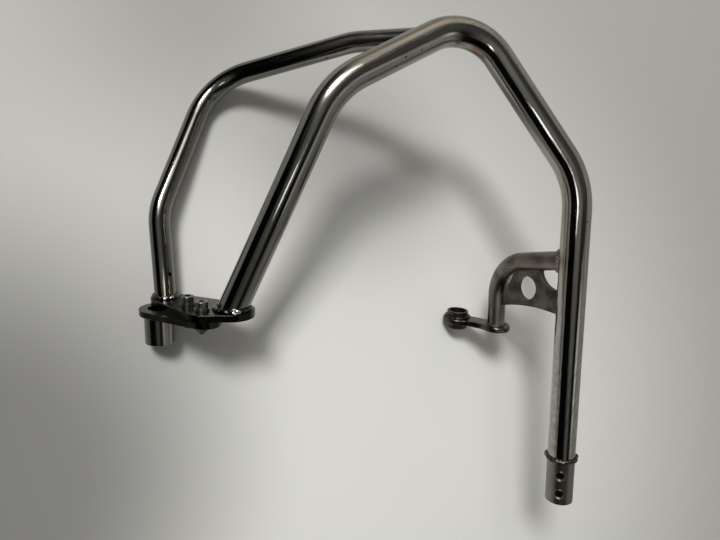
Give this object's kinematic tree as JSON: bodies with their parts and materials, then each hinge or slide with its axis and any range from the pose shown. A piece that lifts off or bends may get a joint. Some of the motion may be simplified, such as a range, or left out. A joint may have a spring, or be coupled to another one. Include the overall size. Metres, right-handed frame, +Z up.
{
  "type": "motorcycle crash bar",
  "caption": "Engine crash bar for one side of a motorcycle: a bent stainless hoop with a slimmer brace, screwed foot plates, a frame boss and a gusseted rear bracket.",
  "frame": {"origin": "on the ground, under the middle of the bar as it lies on its upper plate, rear lug and brace", "axes": "+X runs from the frame boss towards the hoop's long leg, +Y points away from the joining sleeve, +Z is up"},
  "size_m": [0.3707, 0.4462, 0.1847],
  "materials": {
    "polished_steel": "mirror-polished stainless steel with fine lengthwise polishing lines",
    "brushed_steel": "satin stainless steel, left brushed",
    "dark_steel": "stainless plate, ground and polished, with rounded rims",
    "fastener_steel": "plain stainless fasteners",
    "weld_metal": "stainless weld bead, wire-brushed, with heat tint beside it"
  },
  "bodies": {
    "root": {"hoop_tube": "polished_steel", "end_sleeve": "brushed_steel", "brace_tube": "polished_steel", "upper_plate": "dark_steel", "lower_plate": "dark_steel", "frame_boss": "polished_steel", "cap_screws": "fastener_steel", "head_washers": "fastener_steel", "hex_nuts": "fastener_steel", "bracket_tube": "brushed_steel", "gusset_plate": "brushed_steel", "bracket_lug": "dark_steel", "lug_bush": "polished_steel", "hoop_foot_weld": "weld_metal", "brace_foot_weld": "weld_metal", "lug_weld": "weld_metal", "bush_weld": "weld_metal", "boss_weld": "weld_metal", "sleeve_weld": "weld_metal", "brace_weld": "weld_metal", "bracket_weld": "weld_metal", "gusset_weld": "weld_metal"}
  },
  "joints": []
}
